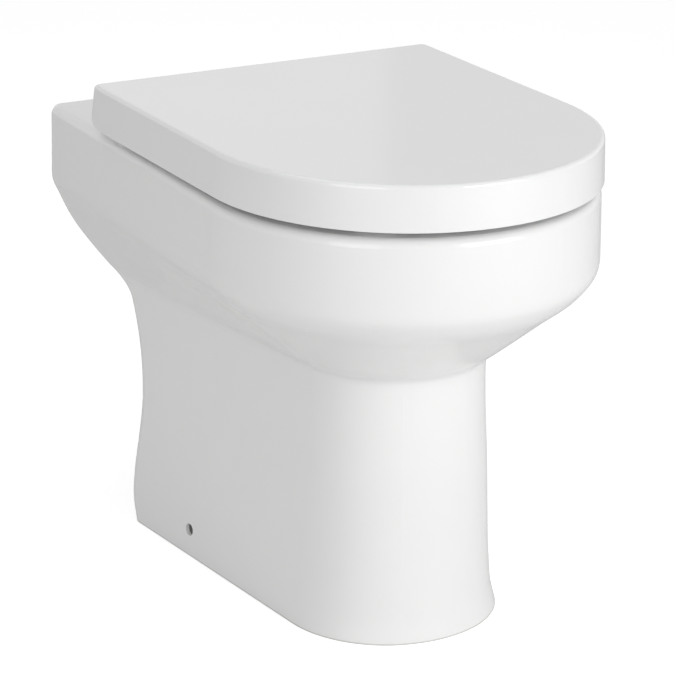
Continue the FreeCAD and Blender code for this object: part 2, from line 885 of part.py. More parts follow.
screw_radius = value("Dim.screw_radius")
fit_gap = value("Dim.fit_gap")
sleeve = doc.addObject("Part::Feature", "sleeve_right")
sleeve.Shape = along_x(value("Dim.side_hole_radius") - fit_gap, bracket_face, screw_seat).cut(
    along_x(screw_radius + fit_gap, bracket_face, screw_seat)
)
screw = doc.addObject("Part::Feature", "screw_right")
screw_tip = bracket_face - value("Dim.screw_reach")
screw_top = screw_seat + value("Dim.screw_head")
screw.Shape = along_x(screw_radius, screw_tip, screw_seat).fuse(
    along_x(value("Dim.screw_head_radius"), screw_seat, screw_top)
)
bracket_left = mirror("floor_bracket_left", bracket_right)
fixing_sleeves = group("fixing_sleeves", [sleeve, mirror("sleeve_left", sleeve)])
side_screws = group("side_screws", [screw, mirror("screw_left", screw)])

# Hinge hardware on the right; the left is its mirror image.
SPAN = "Dim.hinge_half_span"
KNUCKLE_IN = "Dim.hinge_half_span - Dim.knuckle_width / 2"
KNUCKLE_OUT = "Dim.hinge_half_span + Dim.knuckle_width / 2"
SEAT_LUG_END = KNUCKLE_IN + " - Dim.knuckle_gap"
LID_LUG_START = KNUCKLE_OUT + " + Dim.knuckle_gap"
BORE_DEPTH = "Dim.lug_width - Dim.lug_floor"
PLATE_Z = "Dim.rim_height + Dim.gasket_thickness"
PLATE_TOP = PLATE_Z + " + Dim.plate_thickness"


def front_of_axis(distance):
    return from_wall("Dim.axis_from_wall + (%s)" % distance)


hinge_bracket = new_body("hinge_bracket_right")
plate_sketch = new_sketch(hinge_bracket, "plate_sketch", "XY_Plane", PLATE_Z)
draw_circle(plate_sketch, SPAN, STUD_Y, "Dim.plate_radius")
pad(hinge_bracket, "plate", plate_sketch, "Dim.plate_thickness")
arm_sketch = new_sketch(hinge_bracket, "arm_sketch", "YZ_Plane", SPAN)
ARM_FRONT = front_of_axis("Dim.stud_setback + Dim.arm_front")
ARM_BACK = front_of_axis("Dim.stud_setback - Dim.arm_back")
ARM_LOW = "%s - Dim.knuckle_radius" % AXIS_Z
ARM_TOP = "%s + Dim.knuckle_radius" % AXIS_Z
ARM_FOOT = PLATE_TOP + " - Dim.plate_thickness / 2"
draw_arm(
    arm_sketch,
    AXIS_Y,
    AXIS_Z,
    "Dim.knuckle_radius",
    [
        (ARM_BACK, ARM_LOW),
        (ARM_BACK, ARM_FOOT),
        (ARM_FRONT, ARM_FOOT),
        (ARM_FRONT, ARM_TOP + " - Dim.arm_chamfer"),
        ("%s + Dim.arm_chamfer" % ARM_FRONT, ARM_TOP),
    ],
)
pad(hinge_bracket, "arm", arm_sketch, "Dim.knuckle_width", both_ways=True)
bore_sketch = new_sketch(hinge_bracket, "bore_sketch", "YZ_Plane", SPAN)
draw_circle(bore_sketch, AXIS_Y, AXIS_Z, "Dim.pin_radius + Dim.fit_gap")
pocket(hinge_bracket, "pin_bore", bore_sketch, "2 * Dim.knuckle_width", both_ways=True)
stud_sketch = new_sketch(hinge_bracket, "stud_sketch", "XY_Plane", PLATE_Z)
draw_circle(stud_sketch, SPAN, STUD_Y, "Dim.stud_radius + Dim.fit_gap")
pocket(hinge_bracket, "stud_hole", stud_sketch, "Dim.stud_reach", backwards=True)
hinge_bracket_left = mirror("hinge_bracket_left", hinge_bracket)

PIN_START = SEAT_LUG_END + " - (%s) + Dim.pin_end_gap" % BORE_DEPTH
PIN_END = LID_LUG_START + " + (%s) - Dim.pin_end_gap" % BORE_DEPTH
hinge_pin = cylinder(
    "hinge_pin_right",
    "Dim.pin_radius",
    "(%s) - (%s)" % (PIN_END, PIN_START),
    (PIN_START, AXIS_Y, AXIS_Z),
    X_AXIS,
)
hinge_pin_left = mirror("hinge_pin_left", hinge_pin)

DECK_UNDER = "Dim.rim_height - Dim.deck_wall"
STUD_TOP = PLATE_Z + " + Dim.stud_reach - Dim.rest_gap"


def at_stud(height):
    return (SPAN, STUD_Y, height)


STUD_BORE = "Dim.stud_radius + Dim.fit_gap"
gasket = tube(
    "gasket_right", "Dim.plate_radius", STUD_BORE, "Dim.gasket_thickness", at_stud("Dim.rim_height")
)
base_gaskets = group("base_gaskets", [gasket, mirror("gasket_left", gasket)])
stud = cylinder("stud_right", "Dim.stud_radius", "Dim.stud_length", at_stud(STUD_TOP + " - Dim.stud_length"))
hinge_studs = group("hinge_studs", [stud, mirror("stud_left", stud)])
bush_shape = fuse(
    "bush_shape",
    [
        cylinder("bush_sleeve", "Dim.deck_hole_radius - Dim.fit_gap", "Dim.deck_wall", at_stud(DECK_UNDER)),
        cylinder(
            "bush_collar",
            "Dim.bush_flange_radius",
            "Dim.bush_flange",
            at_stud(DECK_UNDER + " - Dim.bush_flange"),
        ),
    ],
)
bush = cut(
    "bush_right",
    bush_shape,
    cylinder("bush_bore", STUD_BORE, "3 * Dim.deck_wall", at_stud(DECK_UNDER + " - Dim.deck_wall")),
)
deck_bushes = group("deck_bushes", [bush, mirror("bush_left", bush)])
WASHER_Z = DECK_UNDER + " - Dim.bush_flange - Dim.washer_thickness"
washer = tube("washer_right", "Dim.washer_radius", STUD_BORE, "Dim.washer_thickness", at_stud(WASHER_Z))
stud_washers = group("stud_washers", [washer, mirror("washer_left", washer)])
NUT_Z = WASHER_Z + " - Dim.nut_height"
WING_Z = WASHER_Z + " - Dim.nut_height / 3 - Dim.wing_height"
wings = block(
    "nut_wings",
    ("Dim.wing_span", "Dim.wing_thickness", "Dim.wing_height"),
    (SPAN + " - Dim.wing_span / 2", STUD_Y + " - Dim.wing_thickness / 2", WING_Z),
)
nut = cut(
    "nut_right",
    fuse("nut_shape", [cylinder("nut_hub", "Dim.nut_radius", "Dim.nut_height", at_stud(NUT_Z)), wings]),
    cylinder("nut_bore", STUD_BORE, "4 * Dim.nut_height", at_stud(NUT_Z + " - 2 * Dim.nut_height")),
)
wing_nuts = group("wing_nuts", [nut, mirror("nut_left", nut)])

# Seat ring: a flat ring with rounded edges, two slots for the hinge arms and a lug beside each.
SEAT_LOW = "Dim.rim_height + Dim.seat_gap"
SEAT_TOP = SEAT_LOW + " + Dim.seat_thickness"
SEAT_EDGE = "Dim.lid_wall + Dim.seat_margin"
seat_ring = new_body("seat_ring")
seat_sketch = new_sketch(seat_ring, "seat_sketch", "XY_Plane", SEAT_LOW)
draw_outline(
    seat_sketch,
    "Dim.projection - Dim.lid_draft - (%s)" % SEAT_EDGE,
    "Dim.lid_half - (%s)" % SEAT_EDGE,
    "Dim.lid_rear_half - (%s)" % SEAT_EDGE,
    "Dim.axis_from_wall + Dim.seat_rear",
    "Dim.rim_inset",
    "Dim.rim_flat",
    "Dim.seat_corner",
)
pad(seat_ring, "seat_plate", seat_sketch, "Dim.seat_thickness")
hole_sketch = new_sketch(seat_ring, "hole_sketch", "XY_Plane", SEAT_LOW)
HOLE_Y = from_wall("Dim.seat_hole_centre")
draw_ellipse(hole_sketch, HOLE_Y, "Dim.seat_hole_half", "Dim.seat_hole_half_length")
seat_hole = pocket(seat_ring, "seat_hole", hole_sketch, "2 * Dim.seat_thickness", both_ways=True)
doc.recompute()
top_edges = edges_where(
    seat_hole.Shape, lambda edge: edge.BoundBox.ZMin > value(SEAT_TOP) - 0.01
)
seat_fillet = seat_ring.newObject("PartDesign::Fillet", "seat_fillet")
seat_fillet.Base = (seat_hole, ["Edge%d" % number for number in top_edges])
seat_fillet.setExpression("Radius", "Dim.seat_round")
slot_sketch = new_sketch(seat_ring, "slot_sketch", "XY_Plane", SEAT_LOW)
SLOT_IN = SEAT_LUG_END
SLOT_OUT = KNUCKLE_OUT + " + Dim.slot_clearance"
SLOT_FRONT = "%s - Dim.slot_clearance" % ARM_FRONT
for sign in ("", "-"):
    draw_box(slot_sketch, "%s(%s)" % (sign, SLOT_IN), "%s(%s)" % (sign, SLOT_OUT), SLOT_FRONT, AXIS_Y)
pocket(seat_ring, "hinge_slots", slot_sketch, "3 * Dim.seat_thickness", both_ways=True)
for sign, side in (("", "right"), ("-", "left")):
    lug_sketch = new_sketch(
        seat_ring, "lug_sketch_" + side, "YZ_Plane", "%s(%s - Dim.lug_width / 2)" % (sign, SEAT_LUG_END)
    )
    lug_front = front_of_axis("2 * Dim.seat_rear + Dim.seat_round")
    lug_back = front_of_axis("Dim.seat_rear + Dim.seat_round")
    draw_arm(
        lug_sketch,
        AXIS_Y,
        AXIS_Z,
        "Dim.lug_radius",
        [
            (lug_back, "%s - Dim.lug_radius" % AXIS_Z),
            (lug_back, SEAT_LOW),
            (lug_front, SEAT_LOW),
            (lug_front, SEAT_TOP),
        ],
    )
    pad(seat_ring, "lug_" + side, lug_sketch, "Dim.lug_width", both_ways=True)


def lug_bore(body, name, x, radius, backwards):
    """A blind bore for a bush or damper, from a lug's face beside the knuckle."""
    sketch = new_sketch(body, name + "_sketch", "YZ_Plane", x)
    draw_circle(sketch, AXIS_Y, AXIS_Z, radius)
    return pocket(body, name, sketch, BORE_DEPTH, backwards=backwards)


DAMPER_BORE = "Dim.damper_radius + Dim.fit_gap"
BUSH_BORE = "Dim.bush_radius + Dim.fit_gap"
lug_bore(seat_ring, "seat_damper_bore", SEAT_LUG_END, DAMPER_BORE, False)
lug_bore(seat_ring, "seat_bush_bore", "-(%s)" % SEAT_LUG_END, BUSH_BORE, True)

# Lid: a shell with a drafted skirt, a short rear wall and a lug outside each hinge.
LID_LOW = "Dim.rim_height + Dim.lid_gap"
LID_TOP = LID_LOW + " + Dim.lid_height"
LID_CEILING = LID_TOP + " - Dim.lid_wall"


def lid_outline(body, name, height, inward, rear):
    """The lid's outline at one height, drawn smaller than at the top by inward."""
    sketch = new_sketch(body, name, "XY_Plane", height)
    draw_outline(
        sketch,
        "Dim.projection - Dim.lid_draft - (%s)" % inward,
        "Dim.lid_half - (%s)" % inward,
        "Dim.lid_rear_half - (%s)" % inward,
        rear,
        "Dim.rim_inset",
        "Dim.rim_flat",
        "Dim.lid_corner",
    )
    return sketch


lid = new_body("lid")
LID_REAR_LOW = "Dim.lid_rear - Dim.lid_lean"
lid_low = lid_outline(lid, "lid_low", LID_LOW, "-Dim.lid_draft", LID_REAR_LOW)
lid_top = lid_outline(lid, "lid_top", LID_TOP, "0", "Dim.lid_rear")
skirt = loft(lid, "skirt", [lid_top, lid_low])
doc.recompute()
lid_edges = edges_where(skirt.Shape, lambda edge: edge.BoundBox.ZMin > value(LID_TOP) - 0.01)
lid_fillet = lid.newObject("PartDesign::Fillet", "lid_fillet")
lid_fillet.Base = (skirt, ["Edge%d" % number for number in lid_edges])
lid_fillet.setExpression("Radius", "Dim.lid_round")
lid_ceiling = lid_outline(
    lid, "lid_ceiling", LID_CEILING, "Dim.lid_wall", "Dim.lid_rear + Dim.lid_wall"
)
pocket(lid, "lid_inside", lid_ceiling, "Dim.lid_height")
heel_sketch = new_sketch(lid, "heel_sketch", "YZ_Plane")
# the heel's arc touches the lower edge and the leaning rear edge
HEEL_Y = from_wall(LID_REAR_LOW)
LEAN_RATE = "(Dim.lid_lean / Dim.lid_height)"
LEAN_LENGTH = "sqrt(1 + %s ^ 2)" % LEAN_RATE
HEEL_RUN = "Dim.lid_heel * (%s + %s)" % (LEAN_LENGTH, LEAN_RATE)
HEEL_FRONT = "%s - %s" % (HEEL_Y, HEEL_RUN)
HEEL_BEHIND = "%s + Dim.lid_heel" % HEEL_Y
HEEL_UNDER = "%s - Dim.lid_heel" % LID_LOW
heel_top_y = "%s - %s * %s / %s" % (HEEL_Y, HEEL_RUN, LEAN_RATE, LEAN_LENGTH)
heel_top_z = "%s + %s / %s" % (LID_LOW, HEEL_RUN, LEAN_LENGTH)
heel_centre = Vector(value(HEEL_FRONT), value(LID_LOW + " + Dim.lid_heel"), 0)
heel_circle = Part.Circle(heel_centre, Vector(0, 0, 1), value("Dim.lid_heel"))
lean = math.atan(value(LEAN_RATE))
heel_arc = heel_sketch.addGeometry(Part.ArcOfCircle(heel_circle, -math.pi / 2, lean))
heel_path = [
    (heel_top_y, heel_top_z),
    (HEEL_BEHIND, heel_top_z),
    (HEEL_BEHIND, HEEL_UNDER),
    (HEEL_FRONT, HEEL_UNDER),
    (HEEL_FRONT, LID_LOW),
]
heel_points = [Vector(value(y), value(z), 0) for y, z in heel_path]
heel_lines = []
for start, end in zip(heel_points, heel_points[1:]):
    heel_lines.append(heel_sketch.addGeometry(Part.LineSegment(start, end)))
for line, after in zip(heel_lines, heel_lines[1:]):
    heel_sketch.addConstraint(Sketcher.Constraint("Coincident", line, 2, after, 1))
heel_sketch.addConstraint(Sketcher.Constraint("Coincident", heel_arc, 2, heel_lines[0], 1))
heel_sketch.addConstraint(Sketcher.Constraint("Coincident", heel_lines[-1], 2, heel_arc, 1))
for line, (y, z) in zip(heel_lines, heel_path):
    bound_x(heel_sketch, line, 1, y)
    bound_y(heel_sketch, line, 1, z)
bound_x(heel_sketch, heel_lines[-1], 2, heel_path[-1][0])
bound_y(heel_sketch, heel_lines[-1], 2, heel_path[-1][1])
bound_radius(heel_sketch, heel_arc, "Dim.lid_heel")
pocket(lid, "heel", heel_sketch, "3 * Dim.lid_half", both_ways=True)
rear_sketch = new_sketch(lid, "rear_sketch", "XZ_Plane", "-(%s)" % AXIS_Y)
draw_box(
    rear_sketch,
    "-(Dim.lid_rear_half - 2 * Dim.lid_wall)",
    "Dim.lid_rear_half - 2 * Dim.lid_wall",
    LID_LOW + " - Dim.lid_height",
    AXIS_Z,
)
pocket(lid, "rear_opening", rear_sketch, "Dim.axis_from_wall")
notch_sketch = new_sketch(lid, "notch_sketch", "XZ_Plane", "-(%s)" % AXIS_Y)
for sign in ("", "-"):
    draw_box(
        notch_sketch,
        "%s(%s - Dim.slot_clearance)" % (sign, KNUCKLE_IN),
        "%s(%s + Dim.slot_clearance)" % (sign, KNUCKLE_OUT),
        AXIS_Z + " - Dim.lug_radius",
        LID_CEILING,
    )
pocket(lid, "hinge_notches", notch_sketch, "Dim.axis_from_wall")
for sign, side in (("", "right"), ("-", "left")):
    lug_sketch = new_sketch(
        lid, "lid_lug_sketch_" + side, "YZ_Plane", "%s(%s + Dim.lug_width / 2)" % (sign, LID_LUG_START)
    )
    low_front = front_of_axis("Dim.lug_radius")
    low_back = front_of_axis("-Dim.lug_radius")
    lug_wall = from_wall("Dim.lid_rear + Dim.lid_wall / 2")
    lug_axis = Vector(value(AXIS_Y), value(AXIS_Z), 0)
    lug_circle = Part.Circle(lug_axis, Vector(0, 0, 1), value("Dim.lug_radius"))
    arc = lug_sketch.addGeometry(Part.ArcOfCircle(lug_circle, math.pi, 0))
    lug_top = LID_CEILING + " + Dim.lid_wall / 2"
    lug_path = [
        (low_back, AXIS_Z),
        (lug_wall, AXIS_Z),
        (lug_wall, lug_top),
        (low_front, lug_top),
        (low_front, AXIS_Z),
    ]
    lug_points = [Vector(value(y), value(z), 0) for y, z in lug_path]
    lug_lines = []
    for start, end in zip(lug_points, lug_points[1:]):
        lug_lines.append(lug_sketch.addGeometry(Part.LineSegment(start, end)))
    for line, after in zip(lug_lines, lug_lines[1:]):
        lug_sketch.addConstraint(Sketcher.Constraint("Coincident", line, 2, after, 1))
    lug_sketch.addConstraint(Sketcher.Constraint("Coincident", arc, 2, lug_lines[0], 1))
    lug_sketch.addConstraint(Sketcher.Constraint("Coincident", lug_lines[-1], 2, arc, 1))
    for line, (y, z) in zip(lug_lines, lug_path):
        bound_x(lug_sketch, line, 1, y)
        bound_y(lug_sketch, line, 1, z)
    bound_x(lug_sketch, lug_lines[-1], 2, low_front)
    bound_y(lug_sketch, lug_lines[-1], 2, AXIS_Z)
    bound_y(lug_sketch, arc, 3, AXIS_Z)
    pad(lid, "lid_lug_" + side, lug_sketch, "Dim.lug_width", both_ways=True)
lug_bore(lid, "lid_bush_bore", LID_LUG_START, BUSH_BORE, True)
lug_bore(lid, "lid_damper_bore", "-(%s)" % LID_LUG_START, DAMPER_BORE, False)

# Bushes and dampers. Each lies in a lug's blind bore, with its open end at the hinge knuckle.
BUSH_LENGTH = "(%s) - Dim.rest_gap" % BORE_DEPTH
RUNNING_BORE = "Dim.pin_radius + Dim.fit_gap"
seat_bush_place = ("-(%s)" % SEAT_LUG_END, AXIS_Y, AXIS_Z)
lid_bush_place = (LID_LUG_START, AXIS_Y, AXIS_Z)
seat_bush = tube("seat_bush", "Dim.bush_radius", RUNNING_BORE, BUSH_LENGTH, seat_bush_place, X_AXIS)
lid_bush = tube("lid_bush", "Dim.bush_radius", RUNNING_BORE, BUSH_LENGTH, lid_bush_place, X_AXIS)


def damper(name, face):
    """A closed cup with a cap at its open end and a vaned rotor fixed on the pin inside it.
    face is the X of the open end; the lug's bore runs from there to lower X."""
    inward = Vector(-1, 0, 0)

    def inside(depth):
        return ("%s - (%s)" % (face, depth), AXIS_Y, AXIS_Z)

    cup = cut(
        name + "_damper_body",
        cylinder(name + "_cup", "Dim.damper_radius", BUSH_LENGTH, inside("0"), inward),
        cylinder(
            name + "_chamber",
            "Dim.damper_radius - Dim.damper_wall",
            "(%s) - Dim.damper_wall" % BUSH_LENGTH,
            inside("0"),
            inward,
        ),
    )
    cap = tube(
        name + "_damper_cap",
        "Dim.damper_radius - Dim.damper_wall - Dim.fit_gap",
        RUNNING_BORE,
        "Dim.damper_cap",
        inside("0"),
        inward,
    )
    rotor_start = "Dim.damper_cap + Dim.rest_gap"
    rotor_length = "(%s) - Dim.pin_end_gap - (%s)" % (BORE_DEPTH, rotor_start)
    hub = cylinder(name + "_hub", "Dim.rotor_radius", rotor_length, inside(rotor_start), inward)
    vane_x = inside("%s + %s" % (rotor_start, rotor_length))[0]
    vane = block(
        name + "_vane",
        (rotor_length, "Dim.vane_thickness", "2 * Dim.vane_radius"),
        (vane_x, AXIS_Y + " - Dim.vane_thickness / 2", AXIS_Z + " - Dim.vane_radius"),
    )
    rotor = cut(
        name + "_damper_rotor",
        fuse(name + "_rotor_shape", [hub, vane]),
        cylinder(name + "_rotor_bore", RUNNING_BORE, "2 * (%s)" % rotor_length, inside("0"), inward),
    )
    return [cup, cap, rotor]


seat_damper = damper("seat", SEAT_LUG_END)
lid_damper = damper("lid", "-(%s)" % LID_LUG_START)


# Buffers: rubber pads with round ends, under the seat and under the lid.
def buffers(label, low, high):
    """Two pads near the front corners and two beside the hinges."""
    radius = value("Dim.lid_half - Dim.buffer_inset")
    angle = math.radians(value("Dim.buffer_front_angle"))
    centre_y = value(from_wall("Dim.projection - Dim.lid_half"))
    spots = [
        (radius * math.sin(angle), centre_y - radius * math.cos(angle), math.degrees(angle)),
        (radius, value(from_wall("Dim.buffer_rear_from_wall")), 90),
    ]
    pads = []
    for index, (x, y, turn) in enumerate(spots):
        body = new_body("%s_pad_%d" % (label, index))
        sketch = new_sketch(body, "%s_sketch_%d" % (label, index), "XY_Plane")
        half = "Dim.buffer_length / 2 - Dim.buffer_width / 2"
        straight = value(half)
        round_end = value("Dim.buffer_width / 2")
        right_end = Part.Circle(Vector(straight, 0, 0), Vector(0, 0, 1), round_end)
        left_end = Part.Circle(Vector(-straight, 0, 0), Vector(0, 0, 1), round_end)
        quarter = math.pi / 2
        signs = ((1, 1), (-1, 1), (-1, -1), (1, -1))
        corners = [Vector(sx * straight, sy * round_end, 0) for sx, sy in signs]
        right = sketch.addGeometry(Part.ArcOfCircle(right_end, -quarter, quarter))
        top = sketch.addGeometry(Part.LineSegment(corners[0], corners[1]))
        left = sketch.addGeometry(Part.ArcOfCircle(left_end, quarter, 3 * quarter))
        low_side = sketch.addGeometry(Part.LineSegment(corners[2], corners[3]))
        loop = [right, top, left, low_side]
        for item, after in zip(loop, loop[1:] + loop[:1]):
            sketch.addConstraint(Sketcher.Constraint("Tangent", item, 2, after, 1))
        bound_x(sketch, right, 3, half)
        bound_y(sketch, right, 3, "0")
        bound_x(sketch, left, 3, "-(%s)" % half)
        bound_y(sketch, left, 3, "0")
        bound_radius(sketch, right, "Dim.buffer_width / 2")
        pad(body, "%s_solid_%d" % (label, index), sketch, "(%s) - (%s)" % (high, low))
        body.Placement = Placement(Vector(x, y, value(low)), Rotation(Vector(0, 0, 1), turn))
        pads += [body, mirror("%s_left_%d" % (label, index), body)]
    return group(label, pads)


seat_buffers = buffers("seat_buffers", "Dim.rim_height + Dim.rest_gap", SEAT_LOW)
lid_buffers = buffers("lid_buffers", SEAT_TOP + " + Dim.rest_gap", LID_CEILING)

doc.recompute()
PIECES = [
    pan,
    flush_inlet_seal,
    bracket_right,
    bracket_left,
    fixing_sleeves,
    side_screws,
    hinge_bracket,
    hinge_bracket_left,
    hinge_pin,
    hinge_pin_left,
    base_gaskets,
    hinge_studs,
    deck_bushes,
    stud_washers,
    wing_nuts,
    seat_ring,
    seat_bush,
    seat_buffers,
    lid,
    lid_bush,
    lid_buffers,
] + seat_damper + lid_damper

failed = [item.Label for item in doc.Objects if "Invalid" in item.State or "Error" in item.State]
if failed:
    raise RuntimeError("did not compute: " + ", ".join(failed))
for item in PIECES:
    if item.Shape.isNull() or not item.Shape.isValid() or not item.Shape.Solids:
        raise RuntimeError("%s has no valid solid" % item.Label)

os.makedirs("parts", exist_ok=True)
for item in PIECES:
    item.Shape.exportStep("parts/%s.step" % item.Label)
    print(item.Label, len(item.Shape.Solids), round(item.Shape.Volume))
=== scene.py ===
import math

import bmesh
import bpy
from mathutils import Matrix, Vector

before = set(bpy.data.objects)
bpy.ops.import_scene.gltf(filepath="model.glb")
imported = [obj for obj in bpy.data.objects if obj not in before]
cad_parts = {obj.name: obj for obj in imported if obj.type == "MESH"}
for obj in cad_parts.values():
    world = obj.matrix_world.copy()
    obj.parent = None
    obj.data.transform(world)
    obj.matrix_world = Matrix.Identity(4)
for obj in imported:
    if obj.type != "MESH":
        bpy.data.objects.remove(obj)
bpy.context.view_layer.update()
scene = bpy.context.scene
scene.view_settings.view_transform = "Standard"

# The camera stands about 2.6 m from the pan, in front and to the left, 1.1 m above the floor, with a
# long lens. It is turned a little about its line of sight, as the photograph is.
VIEW_AZIMUTH = math.radians(-30.66)
VIEW_ELEVATION = math.radians(19.70)
VIEW_ROLL = math.radians(1.263)
VIEW_DISTANCE = 2.62775
VIEW_TARGET = Vector((0.0, -0.0286, 0.225))
VIEW_SLIDE_RIGHT = -0.01567
VIEW_SLIDE_UP = 0.02003
camera_data = bpy.data.cameras.new("camera")
camera_data.sensor_width = 36.0
camera_data.lens = 153.09
camera_data.shift_x = -0.0051
camera_data.shift_y = -0.0136
camera_data.dof.use_dof = False
view_back = Vector((
    math.sin(VIEW_AZIMUTH) * math.cos(VIEW_ELEVATION),
    -math.cos(VIEW_AZIMUTH) * math.cos(VIEW_ELEVATION),
    math.sin(VIEW_ELEVATION),
))
level_right = Vector((math.cos(VIEW_AZIMUTH), math.sin(VIEW_AZIMUTH), 0.0))
level_up = view_back.cross(level_right)
view_right = math.cos(VIEW_ROLL) * level_right + math.sin(VIEW_ROLL) * level_up
view_up = math.cos(VIEW_ROLL) * level_up - math.sin(VIEW_ROLL) * level_right
camera_place = (
    VIEW_TARGET + VIEW_DISTANCE * view_back + VIEW_SLIDE_RIGHT * view_right + VIEW_SLIDE_UP * view_up
)
camera_turn = Matrix((view_right, view_up, view_back)).transposed().to_4x4()
camera = bpy.data.objects.new("camera", camera_data)
camera.matrix_world = Matrix.Translation(camera_place) @ camera_turn
scene.collection.objects.link(camera)
scene.camera = camera

# The studio is a pale floor in a white room, with a large soft lamp at the front on the right
# and weaker ones on the left and above. The room looks white and lights the pan evenly.
WHITE = (1.0, 1.0, 1.0, 1.0)
ROOM_LIGHT = 0.48
SCREEN_AZIMUTH = math.radians(31.5)
SCREEN_EDGE = 0.004
SCREEN_TONE = 0.87
FLOOR_HALF_SIZE = 6.0
FLOOR_COLOUR = (0.86, 0.86, 0.86, 1.0)
FLOOR_LIFT = 0.52


def add_node(tree, kind, inputs, **settings):
    """A shader node with its settings. Each input is a plain value or the output of another node."""
    node = tree.nodes.new("ShaderNode" + kind)
    for label, setting in settings.items():
        setattr(node, label, setting)
    for label, source in inputs.items():
        if isinstance(source, bpy.types.NodeSocket):
            tree.links.new(source, node.inputs[label])
        else:
            node.inputs[label].default_value = source
    return node


world = bpy.data.worlds.new("white_room")
scene.world = world
world.use_nodes = True
room_tree = world.node_tree
room_tree.nodes.clear()
room_way = add_node(room_tree, "TexCoord", {})
room_ray = add_node(room_tree, "LightPath", {})

# the half of the room on the camera's right is a duller screen, which shows only in a gloss
screen_side = add_node(
    room_tree,
    "VectorMath",
    {0: room_way.outputs["Generated"], 1: (math.cos(SCREEN_AZIMUTH), -math.sin(SCREEN_AZIMUTH), 0.0)},
    operation="DOT_PRODUCT",
)
screen_share = add_node(
    room_tree,
    "MapRange",
    {"Value": screen_side.outputs["Value"], "From Min": -SCREEN_EDGE, "From Max": SCREEN_EDGE},
)
screen_gloss = add_node(
    room_tree,
    "Math",
    {0: screen_share.outputs["Result"], 1: room_ray.outputs["Is Glossy Ray"]},
    operation="MULTIPLY",
)
screen_mix = add_node(
    room_tree,
    "Mix",
    {"Factor": screen_gloss.outputs["Value"], "A": WHITE, "B": (SCREEN_TONE, SCREEN_TONE, SCREEN_TONE, 1.0)},
    data_type="RGBA",
)

# a ray that shows the room, straight or in a gloss, finds it white, and one that lights finds it dimmer
straight_or_gloss = add_node(
    room_tree,
    "Math",
    {0: room_ray.outputs["Is Camera Ray"], 1: room_ray.outputs["Is Glossy Ray"]},
    operation="MAXIMUM",
)
seeing_ray = add_node(
    room_tree,
    "Math",
    {0: straight_or_gloss.outputs["Value"], 1: room_ray.outputs["Is Transmission Ray"]},
    operation="MAXIMUM",
)
lit_room = add_node(room_tree, "Background", {"Color": WHITE, "Strength": ROOM_LIGHT})
seen_room = add_node(room_tree, "Background", {"Color": screen_mix.outputs["Result"], "Strength": 1.0})
room_mix = add_node(
    room_tree,
    "MixShader",
    {
        "Fac": seeing_ray.outputs["Value"],
        1: lit_room.outputs["Background"],
        2: seen_room.outputs["Background"],
    },
)
add_node(room_tree, "OutputWorld", {"Surface": room_mix.outputs["Shader"]})


def new_material(name):
    """A node material that has no nodes yet."""
    material = bpy.data.materials.new(name)
    material.use_nodes = True
    material.node_tree.nodes.clear()
    return material


floor_mesh = bpy.data.meshes.new("floor")
floor_shape = bmesh.new()
bmesh.ops.create_grid(floor_shape, x_segments=1, y_segments=1, size=FLOOR_HALF_SIZE)
floor_shape.to_mesh(floor_mesh)
floor_shape.free()
floor = bpy.data.objects.new("floor", floor_mesh)
scene.collection.objects.link(floor)
floor_paint = new_material("floor_paint")
floor_tree = floor_paint.node_tree
floor_matt = add_node(floor_tree, "BsdfDiffuse", {"Color": FLOOR_COLOUR})
# the floor glows for the camera alone, so that it looks as white as the photograph's
floor_ray = add_node(floor_tree, "LightPath", {})
floor_lift = add_node(
    floor_tree, "Math", {0: floor_ray.outputs["Is Camera Ray"], 1: FLOOR_LIFT}, operation="MULTIPLY"
)
floor_glow = add_node(floor_tree, "Emission", {"Color": WHITE, "Strength": floor_lift.outputs["Value"]})
floor_sum = add_node(
    floor_tree, "AddShader", {0: floor_matt.outputs["BSDF"], 1: floor_glow.outputs["Emission"]}
)
add_node(floor_tree, "OutputMaterial", {"Surface": floor_sum.outputs["Shader"]})
floor_mesh.materials.append(floor_paint)


def soft_lamp(name, place, target, width, height, power):
    """A large area lamp at a place, turned to a target."""
    data = bpy.data.lights.new(name, "AREA")
    data.shape = "RECTANGLE"
    data.size = width
    data.size_y = height
    data.energy = power
    lamp = bpy.data.objects.new(name, data)
    lamp.location = place
    lamp.rotation_euler = (Vector(target) - Vector(place)).to_track_quat("-Z", "Y").to_euler()
    scene.collection.objects.link(lamp)


soft_lamp(
    "front_right_lamp",
    place=(1.0, -2.5, 1.05),
    target=(0.0, 0.0, 0.22),
    width=1.4,
    height=1.1,
    power=30.5,
)
soft_lamp(
    "front_left_lamp",
    place=(-1.9, -1.6, 1.0),
    target=(0.0, 0.0, 0.25),
    width=1.2,
    height=1.6,
    power=10.5,
)
soft_lamp(
    "top_lamp",
    place=(-0.2, 0.5, 2.4),
    target=(0.0, 0.0, 0.4),
    width=1.4,
    height=1.4,
    power=5.0,
)

# The pan is one casting of vitreous china under a clear gloss glaze, bare only at the floor and in
# its two side holes. It is cast in a mould and fired, so its glaze lies a little uneven and its
# bends are soft.
NUMBER = "NodeSocketFloat"
COLOUR = "NodeSocketColor"
SMEAR_SCALE = 9.0
SMEAR_LOW = 0.35
SMEAR_HIGH = 0.75


def show_finish(node_name, material):
    """Gives a solid of the part its finish on the object's own slots."""
    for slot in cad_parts[node_name].material_slots:
        slot.link = "OBJECT"
        slot.material = material


def new_group(name, inputs, outputs):
    """A node group with named inputs and outputs, and the two nodes that stand for them inside it."""
    group = bpy.data.node_groups.new(name, "ShaderNodeTree")
    for label, kind in inputs.items():
        group.interface.new_socket(name=label, in_out="INPUT", socket_type=kind)
    for label, kind in outputs.items():
        group.interface.new_socket(name=label, in_out="OUTPUT", socket_type=kind)
    return group, group.nodes.new("NodeGroupInput"), group.nodes.new("NodeGroupOutput")


